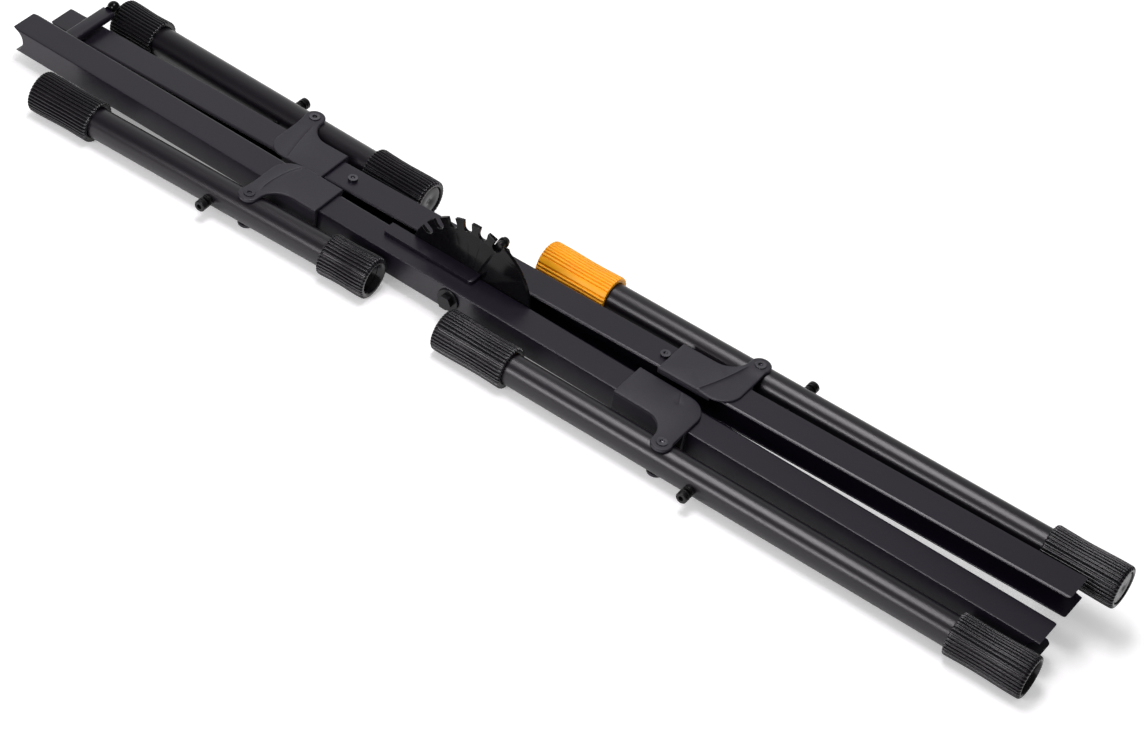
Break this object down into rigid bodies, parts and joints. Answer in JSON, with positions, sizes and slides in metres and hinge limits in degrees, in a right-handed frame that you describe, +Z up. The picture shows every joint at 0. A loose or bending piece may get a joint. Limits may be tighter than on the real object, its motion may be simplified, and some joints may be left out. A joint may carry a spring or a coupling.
{
  "type": "keyboard stand",
  "caption": "Folding X-type keyboard stand, folded flat: two crossed channel beams on one pivot, sliding carriages with swivelling tube arms and legs, and ribbed rubber end caps.",
  "frame": {"origin": "middle of the bounding box's base: the floor that the folded stand lies on", "axes": "+X along the folded beams towards the legs' outer ends, +Y across from the near beam to the far beam, +Z up from the floor"},
  "size_m": [0.9867, 0.1654, 0.0814],
  "materials": {
    "beam_powder_coat": "satin charcoal powder coat",
    "tube_paint": "satin black paint",
    "moulded_nylon": "fine-grained moulded nylon",
    "black_rubber": "ribbed black rubber",
    "yellow_rubber": "ribbed yellow rubber",
    "gloss_black_steel": "gloss black paint",
    "zinc_steel": "zinc plate",
    "black_oxide_steel": "black oxide steel"
  },
  "bodies": {
    "near_side": {"near_beam": "beam_powder_coat", "notch_plate": "gloss_black_steel", "plate_foot": "gloss_black_steel", "pivot_bolt": "black_oxide_steel", "pivot_nut": "black_oxide_steel", "pivot_washers": "black_oxide_steel", "near_bush": "zinc_steel", "thrust_washer": "zinc_steel", "fold_bar": "gloss_black_steel", "fold_ball": "gloss_black_steel"},
    "far_side": {"far_beam": "beam_powder_coat", "far_bush": "zinc_steel", "guide_pin": "zinc_steel", "stop_screws": "zinc_steel"},
    "lock": {"lock_slide": "gloss_black_steel", "lock_pin": "zinc_steel"},
    "near_arm_carriage": {"near_arm_carriage": "moulded_nylon", "near_arm_screw": "zinc_steel", "near_arm_nut": "black_oxide_steel"},
    "near_arm_tube": {"near_arm_tube": "tube_paint", "near_arm_outer_cap": "black_rubber", "near_arm_inner_cap": "black_rubber", "near_arm_pin_bush": "black_oxide_steel", "near_arm_pin_spring": "zinc_steel"},
    "near_arm_pin": {"near_arm_pull_pin": "black_oxide_steel"},
    "far_arm_carriage": {"far_arm_carriage": "moulded_nylon", "far_arm_screw": "zinc_steel", "far_arm_nut": "black_oxide_steel"},
    "far_arm_tube": {"far_arm_tube": "tube_paint", "far_arm_outer_cap": "black_rubber", "far_arm_inner_cap": "black_rubber", "far_arm_pin_bush": "black_oxide_steel", "far_arm_pin_spring": "zinc_steel"},
    "far_arm_pin": {"far_arm_pull_pin": "black_oxide_steel"},
    "near_leg_carriage": {"near_leg_carriage": "moulded_nylon", "near_leg_screw": "zinc_steel", "near_leg_nut": "black_oxide_steel"},
    "near_leg_tube": {"near_leg_tube": "tube_paint", "near_leg_outer_cap": "black_rubber", "near_leg_inner_cap": "black_rubber", "near_leg_pin_bush": "black_oxide_steel", "near_leg_pin_spring": "zinc_steel"},
    "near_leg_pin": {"near_leg_pull_pin": "black_oxide_steel"},
    "far_leg_carriage": {"far_leg_carriage": "moulded_nylon", "far_leg_screw": "zinc_steel", "far_leg_nut": "black_oxide_steel"},
    "far_leg_tube": {"far_leg_tube": "tube_paint", "far_leg_outer_cap": "black_rubber", "far_leg_pin_bush": "black_oxide_steel", "far_leg_pin_spring": "zinc_steel"},
    "far_leg_pin": {"far_leg_pull_pin": "black_oxide_steel"},
    "leveler": {"leveling_cap": "yellow_rubber"}
  },
  "joints": [
    {"name": "scissor", "type": "hinge", "parent": "near_side", "child": "far_side", "pos_m": [-0.05235, -0.00056, 0.02543], "axis": [-0.0001, -0.9952, -0.0981], "range_deg": [0, 79]},
    {"name": "lock_slide", "type": "slide", "parent": "far_side", "child": "lock", "axis": [-0.0001, -0.9952, -0.0981], "range_m": [0, 0.0034]},
    {"name": "near_arm_slide", "type": "slide", "parent": "near_side", "child": "near_arm_carriage", "axis": [-1, 0, 0.0012], "range_m": [0, 0.2645]},
    {"name": "near_arm_swing", "type": "hinge", "parent": "near_arm_carriage", "child": "near_arm_tube", "pos_m": [-0.22886, -0.05668, 0.01799], "axis": [0.0012, -0.0981, 0.9952], "range_deg": [-2.1, 0.9]},
    {"name": "near_arm_pull", "type": "slide", "parent": "near_arm_tube", "child": "near_arm_pin", "axis": [0.0365, -0.9945, -0.0981], "range_m": [0, 0.006], "stiffness_N_per_m": 300, "springref_m": -0.004},
    {"name": "far_arm_slide", "type": "slide", "parent": "far_side", "child": "far_arm_carriage", "axis": [-0.9995, 0.0031, -0.0301], "range_m": [0, 0.234]},
    {"name": "far_arm_swing", "type": "hinge", "parent": "far_arm_carriage", "child": "far_arm_tube", "pos_m": [-0.25319, 0.05659, 0.02284], "axis": [0.0303, 0.098, -0.9947], "range_deg": [-2.1, 0.9]},
    {"name": "far_arm_pull", "type": "slide", "parent": "far_arm_tube", "child": "far_arm_pin", "axis": [0.0367, 0.9944, 0.0991], "range_m": [0, 0.006], "stiffness_N_per_m": 300, "springref_m": -0.004},
    {"name": "near_leg_slide", "type": "slide", "parent": "near_side", "child": "near_leg_carriage", "axis": [1, 0, -0.0012], "range_m": [0, 0.311]},
    {"name": "near_leg_swing", "type": "hinge", "parent": "near_leg_carriage", "child": "near_leg_tube", "pos_m": [0.16064, -0.05668, 0.01754], "axis": [-0.0012, 0.0981, -0.9952], "range_deg": [-0.5, 2]},
    {"name": "near_leg_pull", "type": "slide", "parent": "near_leg_tube", "child": "near_leg_pin", "axis": [0.0104, -0.9951, -0.0981], "range_m": [0, 0.006], "stiffness_N_per_m": 300, "springref_m": -0.004},
    {"name": "far_leg_slide", "type": "slide", "parent": "far_side", "child": "far_leg_carriage", "axis": [0.9995, -0.0031, 0.0301], "range_m": [0, 0.298]},
    {"name": "far_leg_swing", "type": "hinge", "parent": "far_leg_carriage", "child": "far_leg_tube", "pos_m": [0.17361, 0.05528, 0.03569], "axis": [-0.0303, -0.098, 0.9947], "range_deg": [-0.5, 2]},
    {"name": "far_leg_pull", "type": "slide", "parent": "far_leg_tube", "child": "far_leg_pin", "axis": [0.0106, 0.9951, 0.0984], "range_m": [0, 0.006], "stiffness_N_per_m": 300, "springref_m": -0.004},
    {"name": "leveler_turn", "type": "hinge", "parent": "far_leg_tube", "child": "leveler", "pos_m": [0.17361, 0.05528, 0.03569], "axis": [0.9995, -0.0135, 0.0291], "continuous": true}
  ]
}
